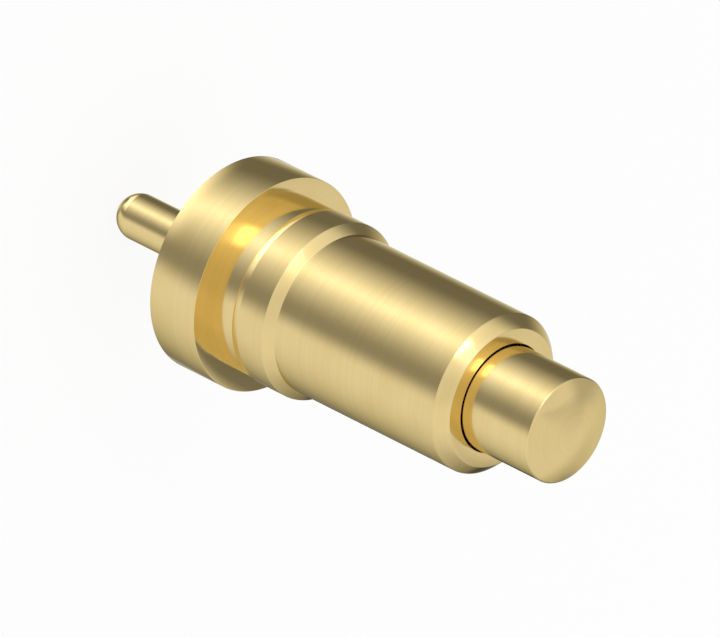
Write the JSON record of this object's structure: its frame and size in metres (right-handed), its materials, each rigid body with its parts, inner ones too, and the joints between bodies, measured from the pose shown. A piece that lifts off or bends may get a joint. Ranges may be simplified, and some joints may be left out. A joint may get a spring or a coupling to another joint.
{
  "type": "spring contact",
  "caption": "Gold-plated spring contact: a sliding domed plunger in a turned barrel with a collar, a flange and a round-ended solder tail.",
  "frame": {"origin": "centre of the flange's board side, where the solder tail leaves it", "axes": "+Z along the contact's axis towards the plunger's tip, -Z along the solder tail into the board; the part is round, so X and Y are alike"},
  "size_m": [0.0024, 0.0024, 0.0066],
  "materials": {
    "gold_plated_brass": "satin gold plate over a turned surface",
    "gold_plated_copper": "satin gold plate over a turned surface",
    "gold_plated_spring_steel": "drawn wire with a thin gold plate"
  },
  "bodies": {
    "barrel": {"barrel": "gold_plated_brass", "spring": "gold_plated_spring_steel"},
    "plunger": {"plunger": "gold_plated_copper"}
  },
  "joints": [
    {"name": "plunger_slide", "type": "slide", "parent": "barrel", "child": "plunger", "axis": [0, 0, -1], "range_m": [0, 0.0009], "stiffness_N_per_m": 600, "deforming": ["spring"]}
  ]
}
